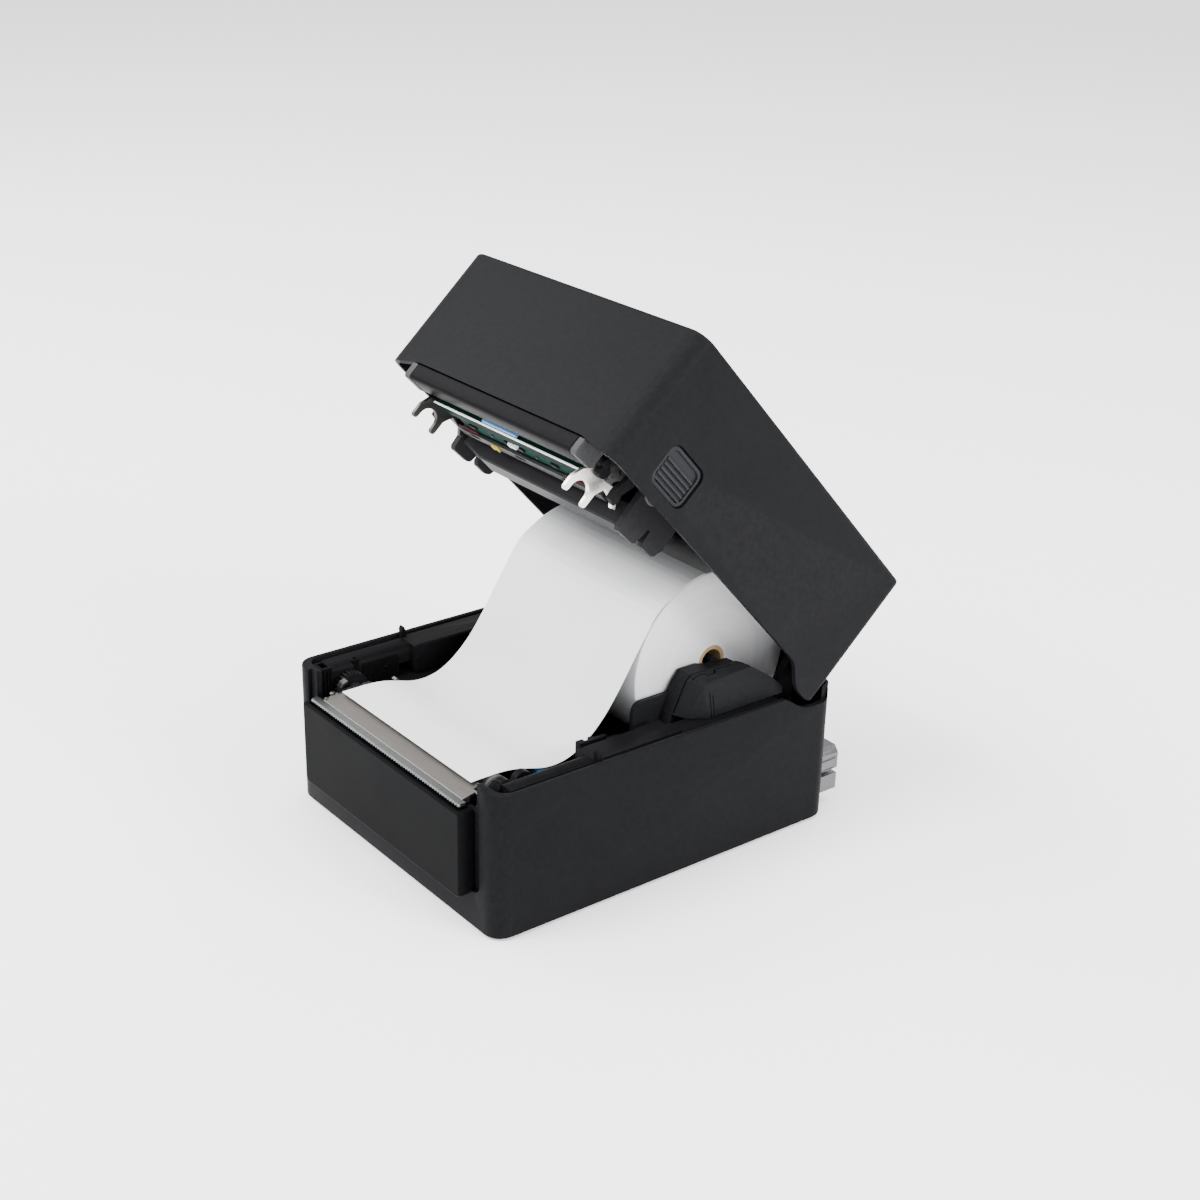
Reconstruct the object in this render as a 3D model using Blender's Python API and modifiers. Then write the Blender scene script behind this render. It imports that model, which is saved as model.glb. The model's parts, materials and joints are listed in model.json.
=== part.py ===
"""Open desktop receipt printer: base with paper roll, lid with thermal head unit.

Everything is drawn in millimetres in the closed frame: X across the width, Y from
front (-) to back (+), Z up, floor at Z = 0.  Lid pieces hang on one empty on the
hinge axis, which is turned to the open rest angle.
"""
import bpy
import bmesh
import math
from mathutils import Matrix, Vector

# ---------------------------------------------------------------- driving dimensions (mm)
WIDTH = 178.0
DEPTH = 210.0
SEAM_Z = 76.6            # top rim of the base, parting line with the lid
HEIGHT = 146.0           # closed height
LID_BACK = 102.0         # rear face of the lid
CORNER_R = 9.5
WALL = 2.8
LID_WALL = 2.6
HINGE_Y, HINGE_Z = 95.0, 84.0
OPEN_DEG = 47.7
CENTRE_Y = 16.25         # middle of the rest pose from front to back
PLATEN_Y, PLATEN_Z, PLATEN_R = -83.5, 62.0, 7.0
PAPER_W = 114.0
ROLL_Y, ROLL_Z, ROLL_R = 48.3, 91.5, 48.5
CORE_R, CORE_IN = 8.2, 6.2
GEAR_M = 0.7             # module of the feed gear train
PLATEN_T, IDLER_T, PINION_T = 26, 20, 12
GEAR_X, GEAR_W = -68.6, 4.0       # right face and width of the gears
SHAFT_R = 3.0
BORE_GAP = 0.08          # running clearance on the radius
HUB_R, NECK_R = 5.8, 2.6          # roll hub of a guide and the neck behind it
HUB_X, NECK_X = 41.0, 46.0        # inner faces of hub and neck
CHEEK_IN, CHEEK_OUT = 58.4, 67.0  # faces of the flat part of a guide
FIN_OUT = 60.6                    # outer face of its forward fin
PORT_IN, PORT_OUT = 12.0, 14.5    # reach of the ports in front of and behind the rear wall
LEDGE_TOP = 76.3
DECK_Z = 60.0                     # flat deck of the tray
HALF_BAR = 64.4                   # half length of the lid's front bar
HEAD_Y, HEAD_Z = -60.0, 86.0      # head unit pivot
LATCH_Y, LATCH_Z = -70.0, 92.0    # latch shaft

NAME = "receipt_printer"
HX, HY = WIDTH / 2, DEPTH / 2

# ---------------------------------------------------------------- clean start
for ob in list(bpy.data.objects):
    bpy.data.objects.remove(ob, do_unlink=True)
for block in (bpy.data.meshes, bpy.data.materials, bpy.data.curves):
    for item in list(block):
        block.remove(item)
for col in list(bpy.data.collections):
    bpy.data.collections.remove(col)

PARTS = bpy.data.collections.new(NAME)
CUTS = bpy.data.collections.new("cutters")
bpy.context.scene.collection.children.link(PARTS)
bpy.context.scene.collection.children.link(CUTS)


def mm(v):
    return v * 0.001


def material(name, rgb, metallic=0.0, rough=0.5):
    mat = bpy.data.materials.new(name)
    mat.use_nodes = True
    bsdf = mat.node_tree.nodes["Principled BSDF"]
    bsdf.inputs["Base Color"].default_value = (rgb[0], rgb[1], rgb[2], 1.0)
    bsdf.inputs["Metallic"].default_value = metallic
    bsdf.inputs["Roughness"].default_value = rough
    mat.diffuse_color = (rgb[0], rgb[1], rgb[2], 1.0)
    return mat


MATS = {
    "case": ((0.045, 0.045, 0.048), 0.0, 0.45),
    "trim": ((0.025, 0.025, 0.027), 0.0, 0.5),
    "inner": ((0.02, 0.02, 0.022), 0.0, 0.55),
    "steel": ((0.62, 0.62, 0.60), 1.0, 0.3),
    "plate": ((0.55, 0.53, 0.49), 1.0, 0.4),
    "rubber": ((0.03, 0.03, 0.03), 0.0, 0.85),
    "platen": ((0.10, 0.10, 0.10), 0.0, 0.7),
    "gear": ((0.75, 0.74, 0.70), 0.0, 0.5),
    "paper": ((0.88, 0.88, 0.88), 0.0, 0.8),
    "core": ((0.36, 0.22, 0.10), 0.0, 0.85),
    "board": ((0.02, 0.16, 0.11), 0.0, 0.45),
    "ceramic": ((0.80, 0.74, 0.66), 0.0, 0.25),
    "blue": ((0.08, 0.28, 0.70), 0.0, 0.4),
    "lens": ((0.25, 0.55, 0.30), 0.0, 0.2),
}


def pivot(name, loc, rot_x=0.0, parent=None):
    """Empty on a joint axis; loc in mm, relative to the parent's origin."""
    ob = bpy.data.objects.new(name, None)
    ob.empty_display_size = 0.02
    PARTS.objects.link(ob)
    ob.location = [mm(c) for c in loc]
    ob.rotation_euler = (rot_x, 0.0, 0.0)
    ob.parent = parent
    return ob


class Space:
    """A group of pieces drawn in closed-frame coordinates under one empty."""

    def __init__(self, empty, origin):
        self.empty = empty
        self.o = Vector(origin)

    def place(self, bm):
        for v in bm.verts:
            v.co = (v.co - self.o) * 0.001


def finish(name, bm, slot, space, smooth=30.0, collection=None):
    bmesh.ops.recalc_face_normals(bm, faces=bm.faces)
    space.place(bm)
    me = bpy.data.meshes.new(name)
    bm.to_mesh(me)
    bm.free()
    ob = bpy.data.objects.new(name, me)
    (collection or PARTS).objects.link(ob)
    ob.parent = space.empty
    if collection is None:
        rgb, met, rough = MATS[slot]
        me.materials.append(material(name, rgb, met, rough))
        me.shade_smooth()
        me.set_sharp_from_angle(angle=math.radians(smooth))
    return ob


def bevel(ob, width, segments=2, angle=35.0):
    mod = ob.modifiers.new("edge", "BEVEL")
    mod.width = mm(width)
    mod.segments = segments
    mod.limit_method = "ANGLE"
    mod.angle_limit = math.radians(angle)
    return ob


def combine(ob, bm, space, op="DIFFERENCE"):
    """Boolean with a throw-away cutter drawn in the same space."""
    cut = finish(ob.name + "_cut", bm, None, space, collection=CUTS)
    cut.hide_render = True
    cut.display_type = "WIRE"
    mod = ob.modifiers.new("cut", "BOOLEAN")
    mod.operation = op
    mod.solver = "EXACT"
    mod.object = cut


# ---------------------------------------------------------------- shape helpers
def put(axis, p, t):
    """3-D point from a 2-D outline point and its place along the axis."""
    if axis == "X":
        return (t, p[0], p[1])
    if axis == "Y":
        return (p[0], t, p[1])
    return (p[0], p[1], t)


def prism(axis, pts, lo, hi):
    """Flat outline extruded along an axis."""
    bm = bmesh.new()
    face = bm.faces.new([bm.verts.new(put(axis, p, lo)) for p in pts])
    grown = bmesh.ops.extrude_face_region(bm, geom=[face])["geom"]
    moved = [g for g in grown if isinstance(g, bmesh.types.BMVert)]
    bmesh.ops.translate(bm, verts=moved, vec=put(axis, (0, 0), hi - lo))
    return bm


def box(x0, x1, y0, y1, z0, z1):
    bm = bmesh.new()
    bmesh.ops.create_cube(bm, size=1.0)
    bmesh.ops.scale(bm, verts=bm.verts, vec=(x1 - x0, y1 - y0, z1 - z0))
    middle = ((x0 + x1) / 2, (y0 + y1) / 2, (z0 + z1) / 2)
    bmesh.ops.translate(bm, verts=bm.verts, vec=middle)
    return bm


def rod(axis, c, r, lo, hi, n=24, r_end=None):
    """Cylinder or cone frustum along an axis, its centre line through c."""
    bm = bmesh.new()
    bmesh.ops.create_cone(bm, cap_ends=True, segments=n, radius1=r,
                          radius2=r if r_end is None else r_end, depth=hi - lo)
    turn = {"X": Matrix.Rotation(math.pi / 2, 3, "Y"),
            "Y": Matrix.Rotation(-math.pi / 2, 3, "X"), "Z": Matrix.Identity(3)}[axis]
    bmesh.ops.rotate(bm, verts=bm.verts, cent=(0, 0, 0), matrix=turn)
    bmesh.ops.translate(bm, verts=bm.verts, vec=put(axis, c, (lo + hi) / 2))
    return bm


def loft(rings):
    """Closed body through unlike sections of equal length, capped at both ends."""
    bm = bmesh.new()
    rows = [[bm.verts.new(p) for p in ring] for ring in rings]
    n = len(rows[0])
    for a, b in zip(rows, rows[1:]):
        for i in range(n):
            j = (i + 1) % n
            bm.faces.new((a[i], a[j], b[j], b[i]))
    bm.faces.new(list(reversed(rows[0])))
    bm.faces.new(rows[-1])
    return bm


def arc(cx, cy, r, a0, a1, n):
    out = []
    for i in range(n + 1):
        a = math.radians(a0 + (a1 - a0) * i / n)
        out.append((cx + r * math.cos(a), cy + r * math.sin(a)))
    return out


def rrect(x0, x1, y0, y1, r, n=6):
    if not isinstance(r, (tuple, list)):
        r = (r, r, r, r)
    pts = []
    pts += arc(x1 - r[0], y1 - r[0], r[0], 0, 90, n)
    pts += arc(x0 + r[1], y1 - r[1], r[1], 90, 180, n)
    pts += arc(x0 + r[2], y0 + r[2], r[2], 180, 270, n)
    pts += arc(x1 - r[3], y0 + r[3], r[3], 270, 360, n)
    return pts


def tube(name, slot, axis, c, r_out, r_in, lo, hi, space, n=32):
    """Cylinder with a through bore."""
    ob = finish(name, rod(axis, c, r_out, lo, hi, n), slot, space)
    combine(ob, rod(axis, c, r_in, lo - 5, hi + 5, n), space)
    return ob


def gear(name, cy, cz, teeth, phase, bore, space):
    """Spur gear about the X direction; phase in degrees puts a tooth centre there."""
    pitch_r = GEAR_M * teeth / 2
    tip, foot = pitch_r + 0.8 * GEAR_M, pitch_r - 1.1 * GEAR_M
    step = 360.0 / teeth
    pts = []
    for k in range(teeth):
        for f, r in ((-0.36, foot), (-0.14, tip), (0.14, tip), (0.36, foot)):
            a = math.radians(phase + (k + f) * step)
            pts.append((cy + r * math.cos(a), cz + r * math.sin(a)))
    ob = finish(name, prism("X", pts, GEAR_X - GEAR_W, GEAR_X), "gear", space)
    combine(ob, rod("X", (cy, cz), bore, GEAR_X - 9, GEAR_X + 5, 24), space)
    return ob


def mirror_x(pts):
    return [(-p[0], p[1]) for p in pts]


def smooth_line(points, per=5):
    """Catmull-Rom curve through 2-D points."""
    pts = [points[0]] + list(points) + [points[-1]]
    out = []
    for i in range(1, len(pts) - 2):
        p0, p1, p2, p3 = pts[i - 1:i + 3]
        for k in range(per):
            t = k / per
            c = []
            for d in (0, 1):
                c.append(0.5 * (2 * p1[d] + (p2[d] - p0[d]) * t
                                + (2 * p0[d] - 5 * p1[d] + 4 * p2[d] - p3[d]) * t * t
                                + (3 * p1[d] - p0[d] - 3 * p2[d] + p3[d]) * t ** 3))
            out.append(tuple(c))
    out.append(tuple(points[-1]))
    return out


# ---------------------------------------------------------------- spaces
ROOT = pivot("base_frame", (0, -CENTRE_Y, 0))
BASE = Space(ROOT, (0, 0, 0))
LID_E = pivot("lid_hinge", (0, HINGE_Y, HINGE_Z), math.radians(-OPEN_DEG), ROOT)
LID = Space(LID_E, (0, HINGE_Y, HINGE_Z))
PLAT = Space(pivot("platen_axis", (0, PLATEN_Y, PLATEN_Z), 0, ROOT), (0, PLATEN_Y, PLATEN_Z))
ROLL = Space(pivot("roll_axis", (0, ROLL_Y, ROLL_Z), 0, ROOT), (0, ROLL_Y, ROLL_Z))
HEAD = Space(pivot("head_axis", (0, HEAD_Y - HINGE_Y, HEAD_Z - HINGE_Z), 0, LID_E),
             (0, HEAD_Y, HEAD_Z))
LATCH = Space(pivot("latch_axis", (0, LATCH_Y - HINGE_Y, LATCH_Z - HINGE_Z), 0, LID_E),
              (0, LATCH_Y, LATCH_Z))

# feed gear train: idler straight below and behind the platen gear, pinion below that
IDLER_DIST = GEAR_M * (PLATEN_T + IDLER_T) / 2
PINION_DIST = GEAR_M * (IDLER_T + PINION_T) / 2
IDLER_A, PINION_A = -70.0, -50.0
IDLER_Y = PLATEN_Y + IDLER_DIST * math.cos(math.radians(IDLER_A))
IDLER_Z = PLATEN_Z + IDLER_DIST * math.sin(math.radians(IDLER_A))
PINION_Y = IDLER_Y + PINION_DIST * math.cos(math.radians(PINION_A))
PINION_Z = IDLER_Z + PINION_DIST * math.sin(math.radians(PINION_A))
IDLE = Space(pivot("idler_axis", (0, IDLER_Y, IDLER_Z), 0, ROOT), (0, IDLER_Y, IDLER_Z))
PINI = Space(pivot("pinion_axis", (0, PINION_Y, PINION_Z), 0, ROOT), (0, PINION_Y, PINION_Z))


# ---------------------------------------------------------------- base
def base_case():
    plan = rrect(-HX, HX, -HY, HY, CORNER_R)
    ob = finish("base_case", prism("Z", plan, 1.2, SEAM_Z), "case", BASE)
    bevel(ob, 0.8, 2, 60)
    ix, front, back = HX - WALL, -HY + 5.2, HY - WALL
    inner = rrect(-ix, ix, front, back, CORNER_R - WALL)
    combine(ob, prism("Z", inner, 4.2, 90), BASE)
    # pocket for the front cover and the low front edge under the tear bar
    combine(ob, prism("Y", rrect(-76, 76, 20.5, 95, (0.5, 0.5, 5, 5)), -120, -HY + 2.2), BASE)
    combine(ob, box(-71, 71, -120, front + 1, 61.6, 95), BASE)
    # notches that clear the rear tongues of the lid
    curve = [(66, 77.6), (70, 76.6), (74, 74.4), (78, 71.4), (82, 69.0), (86, 67.8),
             (90, 67.5), (101.6, 67.5), (102.2, 72.6), (120, 72.6), (120, 95), (66, 95)]
    combine(ob, prism("X", curve, HX - 3.6, HX + 5), BASE)
    combine(ob, prism("X", curve, -HX - 5, -HX + 3.6), BASE)
    combine(ob, box(-HX + 3.2, HX - 3.2, HY - 9, HY + 5, 75.8, 95), BASE)
    # hollow that the lower rear edge of the lid swings through
    for s in (-1, 1):
        lo, hi = sorted((s * 58.5, s * (HX - 3.2)))
        combine(ob, rod("X", (HINGE_Y, HINGE_Z), 10.4, lo, hi, 48), BASE)
    # raised sill behind the roll
    combine(ob, box(-56.5, 56.5, HY - 2.2, HY - 0.2, 70, 79.6), BASE, "UNION")
    # rear opening for the interface panel, and one for the mains rocker
    combine(ob, box(33, 87.6 - 6, HY - 6, HY + 6, 5.6, 42), BASE)
    combine(ob, box(-78, -22, HY - 6, HY + 6, 9, 33), BASE)
    # underside pocket for the service hatch
    combine(ob, prism("Z", rrect(-60.3, 60.3, -40.3, 60.3, 4.3), -2, 2.4), BASE)


def front_cover():
    face = rrect(-70, 70, 18.0, 63.3, (1.4, 1.4, 3.2, 3.2), 4)
    ob = finish("front_cover", prism("Y", face, -HY - 7.2, -HY + 1.9), "case", BASE)
    bevel(ob, 1.0, 2, 60)
    # lower lip sits in front of the base wall, above it the slab fills the pocket
    combine(ob, box(-90, 90, -HY - 0.3, -HY + 10, 10, 20.9), BASE)
    # relief that carries the tear bar
    combine(ob, box(-66.6, 66.6, -HY - 5.0, -HY + 6, 61.2, 70), BASE)


def service_hatch():
    bm = prism("Z", rrect(-60, 60, -40, 60, 4), 1.3, 2.1)
    finish("service_hatch", bm, "trim", BASE)


def feet():
    for name, x, y in (("foot_fl", -72, -88), ("foot_fr", 72, -88),
                       ("foot_bl", -72, 88), ("foot_br", 72, 88)):
        ob = finish(name, rod("Z", (x, y), 7.0, 0.0, 1.0), "rubber", BASE)
        bevel(ob, 0.3, 1, 60)


def tear_bar():
    """Strip with a fine saw-tooth front edge, folded down at the back."""
    teeth, half, back, root, tip = 64, 66.0, -105.4, -108.7, -109.6
    pts = [(-half, back)]
    for k in range(teeth):
        x = -half + 2 * half * k / teeth
        pts.append((x, root))
        pts.append((x + half / teeth, tip))
    pts += [(half, root), (half, back)]
    finish("tear_bar", prism("Z", pts, 64.4, 65.8), "steel", BASE)


def exit_plate():
    """Sloping metal lip between the tear bar and the platen."""
    pts = [(-105.0, 62.4), (-105.0, 64.8), (-104.4, 65.3), (-92.4, 68.1), (-92.4, 67.0),
           (-99.8, 65.0), (-100.4, 62.4)]
    ob = finish("exit_plate", prism("X", pts, -62.0, 62.0), "plate", BASE)
    # the forks of the print head pass its rear corners
    for s in (-1, 1):
        lo, hi = sorted((s * 59.2, s * 64.0))
        combine(ob, box(lo, hi, -96.6, -90.0, 60.0, 70.0), BASE)


def print_chassis():
    """Sheet metal U that carries the platen, the motor and the gear pins."""
    ob = finish("print_chassis", box(-66, 66, -98.5, -66, 31.0, 32.6), "steel", BASE)
    side = [(-98.5, 30), (-98.5, 60.5), (-91.6, 66.0), (-75.4, 66.0), (-66, 60.0), (-66, 30)]
    for x0, x1 in ((-65.6, -63.8), (63.8, 65.6)):
        combine(ob, prism("X", side, x0, x1), BASE, "UNION")
    # window in the floor of the U for the motor
    combine(ob, box(-63.2, -41, -89, -60, 25, 40), BASE)
    combine(ob, rod("X", (PLATEN_Y, PLATEN_Z), 5.15, -80, 80, 32), BASE)
    # slot above the bearing, open to the top so the platen lifts out
    combine(ob, box(-80, 80, PLATEN_Y - 3.4, PLATEN_Y + 3.4, PLATEN_Z, 75), BASE)
    # holes for the idler pin and the motor shaft
    combine(ob, rod("X", (IDLER_Y, IDLER_Z), 1.65, -80, -60, 20), BASE)
    combine(ob, rod("X", (PINION_Y, PINION_Z), 6.3, -80, -60, 24), BASE)


def bearings():
    for name, x0, x1 in (("bearing_l", -67.2, -59.7), ("bearing_r", 59.7, 67.2)):
        tube(name, "gear", "X", (PLATEN_Y, PLATEN_Z), 4.95, SHAFT_R + 0.1, x0, x1, BASE, 28)


def platen():
    axis = (PLATEN_Y, PLATEN_Z)
    ob = finish("platen_shaft", rod("X", axis, SHAFT_R, -74.0, 69.0), "steel", PLAT)
    bevel(ob, 0.4, 1)
    tube("platen_roller", "platen", "X", axis, PLATEN_R, SHAFT_R + BORE_GAP, -58.6, 58.6,
         PLAT, 40)
    gear("platen_gear", PLATEN_Y, PLATEN_Z, PLATEN_T, IDLER_A, SHAFT_R + BORE_GAP, PLAT)


def gear_train():
    # a gap of each gear faces the tooth of the one before it
    gap = IDLER_A + 180.0 + 180.0 / IDLER_T
    gear("idler_gear", IDLER_Y, IDLER_Z, IDLER_T, gap, 1.7, IDLE)
    pin = rod("X", (IDLER_Y, IDLER_Z), 1.6, -74.0, -62.0, 20)
    finish("idler_pin", pin, "steel", BASE)
    # the idler's tooth phase seen from the pinion side
    turn = ((PINION_A - gap) % (360.0 / IDLER_T)) / (360.0 / IDLER_T)
    phase = PINION_A + 180.0 + 180.0 / PINION_T + turn * 360.0 / PINION_T
    gear("motor_pinion", PINION_Y, PINION_Z, PINION_T, phase, 1.0 + BORE_GAP, PINI)


def motor():
    pts = rrect(PINION_Y - 16, PINION_Y + 16, PINION_Z - 16, PINION_Z + 16, 4, 4)
    ob = finish("feed_motor", prism("X", pts, -61.5, -43.0), "steel", BASE)
    combine(ob, rod("X", (PINION_Y, PINION_Z), 6.0, -62.8, -61.0, 24), BASE, "UNION")
    combine(ob, rod("X", (PINION_Y, PINION_Z), 1.0, -73.2, -62.0, 16), BASE, "UNION")


def tray():
    """Bucket under the roll: deck in front, round trough behind."""
    pts = [(-63.5, 33.5), (-63.5, DECK_Z - 0.6), (-62.9, DECK_Z), (-34.0, DECK_Z),
           (ROLL_Y - 41.6, 58.2)]
    pts += arc(ROLL_Y, ROLL_Z, 53.0, 219.9, 320.1, 22)
    pts += [(ROLL_Y + 41.6, 58.2), (97.5, 59.4), (101.8, 59.4), (101.8, 33.5)]
    ob = finish("media_tray", prism("X", pts, -85.8, 85.8), "inner", BASE)
    # rear corners follow the inside of the base walls
    combine(ob, prism("Z", rrect(-85.7, 85.7, -99, 101.7, 7.0), 20, 80), BASE, "INTERSECT")
    # relief around the motor
    combine(ob, box(-68, -38, -70, PINION_Y + 18.5, 20, 56.4), BASE)
    # relief over the interface ports
    combine(ob, box(57, 82, 90, 110, 20, 37.0), BASE)
    # slot along the deck for the paper sensor
    combine(ob, box(-52, 58.4, -58.0, -50.0, 55.0, 66.0), BASE)


def ledges():
    """Shelves inside the side walls, each with a rounded rail running to the front."""
    for name, s in (("ledge_l", -1), ("ledge_r", 1)):
        shelf = [(69.0, -44.6), (85.7, -44.6), (85.7, 70.0), (73.2, 70.0), (73.2, 6.0),
                 (69.0, 6.0)]
        if s < 0:
            shelf = list(reversed(mirror_x(shelf)))
        ob = finish(name, prism("Z", shelf, DECK_Z + 0.4, LEDGE_TOP), "inner", BASE)
        bevel(ob, 0.8, 1, 60)
        # the part beside the roll lies under the sliding guides
        combine(ob, box(-90, 90, 8.0, 80.0, 75.0, 90.0), BASE)
        rail = [(73.4, 66.4)] + arc(77.8, 71.4, 4.4, 180, 90, 5)
        rail += arc(82.0, 72.1, 3.7, 90, 0, 4) + [(85.7, 66.4)]
        if s < 0:
            rail = list(reversed(mirror_x(rail)))
        combine(ob, prism("Y", rail, -92.8, -40.0), BASE, "UNION")
        # hooked peg on the front outer corner
        lo, hi = sorted((s * 82.2, s * 85.2))
        peg = [(-44.4, 74.0), (-44.6, 80.6), (-43.8, 82.0), (-42.9, 81.6), (-42.0, 78.6),
               (-41.4, 74.0)]
        combine(ob, prism("X", peg, lo, hi), BASE, "UNION")


def guides():
    """Sliding cheeks: plate, hub and forward fin beside the roll, faceted cup outside."""
    low = [(12.5, 63.0), (14.5, 75.4), (20.5, 88.0), (25.5, 94.2), (36.0, 94.2),
           (41.0, 92.7), (57.0, 91.4), (69.5, 83.4), (75.8, 77.4), (75.8, 63.0)]
    inner = [(14.6, 75.6), (15.4, 77.6), (22.6, 92.4), (25.8, 93.9), (38.0, 93.9),
             (56.0, 93.2), (69.4, 84.0), (75.6, 78.0), (75.8, 75.6)]
    middle = [(18.6, 75.6), (18.8, 77.6), (23.6, 92.6), (26.0, 93.8), (38.0, 93.8),
              (56.4, 93.8), (69.6, 84.6), (75.8, 78.4), (75.8, 75.6)]
    outer = [(26.6, 75.6), (26.4, 77.6), (25.8, 91.6), (27.4, 92.8), (40.0, 93.4),
             (56.8, 94.2), (70.0, 85.0), (75.8, 79.0), (75.8, 75.6)]
    fin = [(18.3, 66.0), (18.3, 84.0)] + arc(1.0, 79.0, 5.0, 90, 180, 5)
    fin += [(-4.0, 68.0), (-2.0, 66.0)]
    for name, s in (("guide_l", -1), ("guide_r", 1)):
        lo, hi = sorted((s * CHEEK_IN, s * CHEEK_OUT))
        ob = finish(name, prism("X", low, lo, hi), "trim", BASE)
        # thin fin that keeps the strip straight in front of the roll
        lo, hi = sorted((s * CHEEK_IN, s * FIN_OUT))
        combine(ob, prism("X", fin, lo, hi), BASE, "UNION")
        rings = []
        for ring, foot, head in ((inner, 66.4, 66.4), (middle, 75.4, 70.0),
                                 (outer, 80.4, 77.0)):
            rings.append([(s * (head + (foot - head) * min(1.0, max(0.0, (94 - z) / 17))), y, z)
                          for y, z in ring])
        combine(ob, loft(rings), BASE, "UNION")
        for r, x0, x1 in ((NECK_R, NECK_X - 1.0, CHEEK_IN + 0.4), (HUB_R, HUB_X, NECK_X)):
            lo, hi = sorted((s * x0, s * x1))
            combine(ob, rod("X", (ROLL_Y, ROLL_Z), r, lo, hi, 24), BASE, "UNION")


def roll():
    half = PAPER_W / 2 - 0.1
    axis = (ROLL_Y, ROLL_Z)
    tube("paper_roll", "paper", "X", axis, ROLL_R, CORE_R + 0.1, -half, half, ROLL, 72)
    tube("roll_core", "core", "X", axis, CORE_R, CORE_IN, -half, half, ROLL)


def web():
    """Slack strip from the top of the roll down to the platen and the exit lip."""
    lead = arc(ROLL_Y, ROLL_Z, ROLL_R + 0.75, 98, 121, 5)
    line = smooth_line([lead[-1], (12.4, 126.6), (4.0, 114.2), (-3.5, 102.4), (-10.8, 91.0),
                        (-18.6, 80.4), (-26.6, 72.4), (-34.0, 67.2), (-41.0, 64.2),
                        (-48.6, 63.2), (-55.6, 63.9), (-62.6, 65.9), (-71.6, 68.3),
                        (-80.0, 69.24), (-86.5, 69.3),
                        (-92.0, 69.3), (-96.4, 69.2)], 3)
    path = lead[:-1] + line
    half = 0.12
    up, down = [], []
    for i, p in enumerate(path):
        a = path[max(i - 1, 0)]
        b = path[min(i + 1, len(path) - 1)]
        d = math.hypot(b[0] - a[0], b[1] - a[1])
        ny, nz = -(b[1] - a[1]) / d, (b[0] - a[0]) / d
        up.append((p[0] + ny * half, p[1] + nz * half))
        down.append((p[0] - ny * half, p[1] - nz * half))
    bm = prism("X", up + list(reversed(down)), -PAPER_W / 2, PAPER_W / 2)
    finish("paper_web", bm, "paper", BASE)


def sensor():
    ob = finish("media_sensor", box(48.4, 56.0, -57.6, -50.4, 55.4, 62.2), "blue", BASE)
    bevel(ob, 0.7, 1)


def hinge():
    ear = arc(HINGE_Y, HINGE_Z, 4.0, -75, 105, 14)
    ear += [(87, 90), (80, 84), (76.8, 76), (76.8, 62), (84, 59.8), (88, 59.8), (88, 78)]
    arm = arc(HINGE_Y, HINGE_Z, 4.0, 180, 360, 14) + [(99.0, 104), (91.0, 104)]
    for tag, s in (("l", -1), ("r", 1)):
        lo, hi = sorted((s * 70.4, s * 74.8))
        ob = finish("hinge_ear_" + tag, prism("X", ear, lo, hi), "inner", BASE)
        combine(ob, rod("X", (HINGE_Y, HINGE_Z), 1.7, -90, 90, 20), BASE)
        lo, hi = sorted((s * 75.4, s * 79.2))
        ob = finish("lid_arm_" + tag, prism("X", arm, lo, hi), "steel", LID)
        combine(ob, rod("X", (HINGE_Y, HINGE_Z), 1.75, -90, 90, 20), LID)
        lo, hi = sorted((s * 69.4, s * 80.2))
        finish("hinge_pin_" + tag, rod("X", (HINGE_Y, HINGE_Z), 1.6, lo, hi, 20),
               "steel", BASE)


def electronics():
    finish("main_board", box(-20, 80, -60, 92, 12.0, 13.6), "board", BASE)
    pts = rrect(33.4, 81.2, 6.0, 41.6, 1.0, 3)
    ob = finish("interface_panel", prism("Y", pts, HY - 2.4, HY - 0.6), "steel", BASE)
    combine(ob, box(64.3, 80.7, HY - 9, HY + 5, 19.1, 32.4), BASE)
    combine(ob, box(61.1, 80.7, HY - 9, HY + 5, 7.0, 16.9), BASE)
    # upper port: bevelled square shell with a tongue inside the cup
    pts = [(64.6, 19.4), (80.4, 19.4), (80.4, 28.6), (77.6, 32.0), (67.4, 32.0), (64.6, 28.6)]
    hole = [(65.8, 20.6), (79.2, 20.6), (79.2, 28.1), (77.0, 30.8), (68.0, 30.8), (65.8, 28.1)]
    ob = finish("port_upper", prism("Y", pts, HY - PORT_IN, HY + PORT_OUT), "steel", BASE)
    combine(ob, prism("Y", hole, HY + 5.5, HY + 20), BASE)
    combine(ob, box(68.4, 76.6, HY + 5.0, HY + 7.0, 23.6, 27.4), BASE, "UNION")
    # lower port: plain rectangular shell
    ob = finish("port_lower", box(61.4, 80.4, HY - PORT_IN, HY + PORT_OUT, 7.3, 16.6),
                "steel", BASE)
    combine(ob, box(62.6, 79.2, HY + 4.5, HY + 20, 8.4, 15.4), BASE)
    combine(ob, box(65.4, 76.4, HY + 4.0, HY + 7.0, 11.4, 13.6), BASE, "UNION")
    # mains module: body with a recessed inlet and the window of the rocker
    ob = finish("power_inlet", prism("Y", rrect(-77.6, -22.4, 9.4, 32.6, 1.5, 3),
                                     HY - 16, HY + 0.8), "trim", BASE)
    combine(ob, prism("Y", rrect(-75.5, -49.5, 12.4, 29.6, (4, 4, 1, 1), 3),
                      HY - 13, HY + 5), BASE)
    combine(ob, box(-44.2, -25.8, HY - 12, HY + 5, 13.2, 28.8), BASE)
    for x, z in ((-66.5, 20.0), (-58.5, 20.0)):
        combine(ob, box(x - 1, x + 1, HY - 13.5, HY - 4, z - 2, z + 2), BASE, "UNION")


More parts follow.
